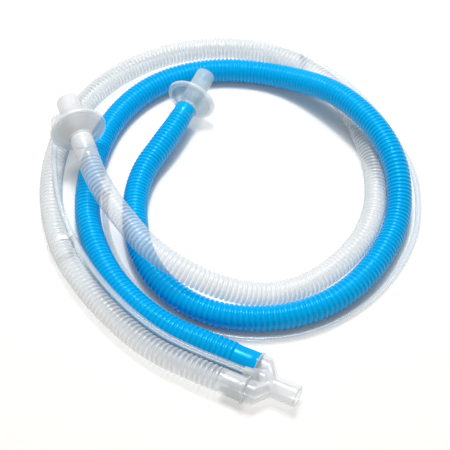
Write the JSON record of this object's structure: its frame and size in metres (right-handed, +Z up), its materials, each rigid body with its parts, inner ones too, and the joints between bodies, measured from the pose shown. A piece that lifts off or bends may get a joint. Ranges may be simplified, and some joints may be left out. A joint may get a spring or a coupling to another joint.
{
  "type": "breathing circuit",
  "caption": "Corrugated breathing circuit with a Y-piece, a pressure line and flanged machine connectors, lying coiled.",
  "frame": {"origin": "centre of the patient port's mouth plane", "axes": "+X out of the patient port along its axis, +Z up from the table, +Y to the inspiratory side"},
  "size_m": [0.4326, 0.4704, 0.0829],
  "materials": {
    "blue_limb": "satin, semi-translucent blue",
    "clear_limb": "satin, milky translucent",
    "clear_moulding": "glossy, milky translucent",
    "clear_tube": "glossy clear soft plastic"
  },
  "bodies": {
    "root": {"y_piece": "clear_moulding", "inspiratory_patient_cuff": "blue_limb", "expiratory_patient_cuff": "clear_limb", "inspiratory_limb": "blue_limb", "expiratory_limb": "clear_limb", "expiratory_machine_cuff": "clear_limb", "inspiratory_machine_connector": "clear_moulding", "expiratory_machine_connector": "clear_moulding", "pressure_line": "clear_tube", "pressure_line_end": "clear_moulding", "lower_line_clip": "clear_moulding", "upper_line_clip": "clear_moulding"}
  },
  "joints": []
}
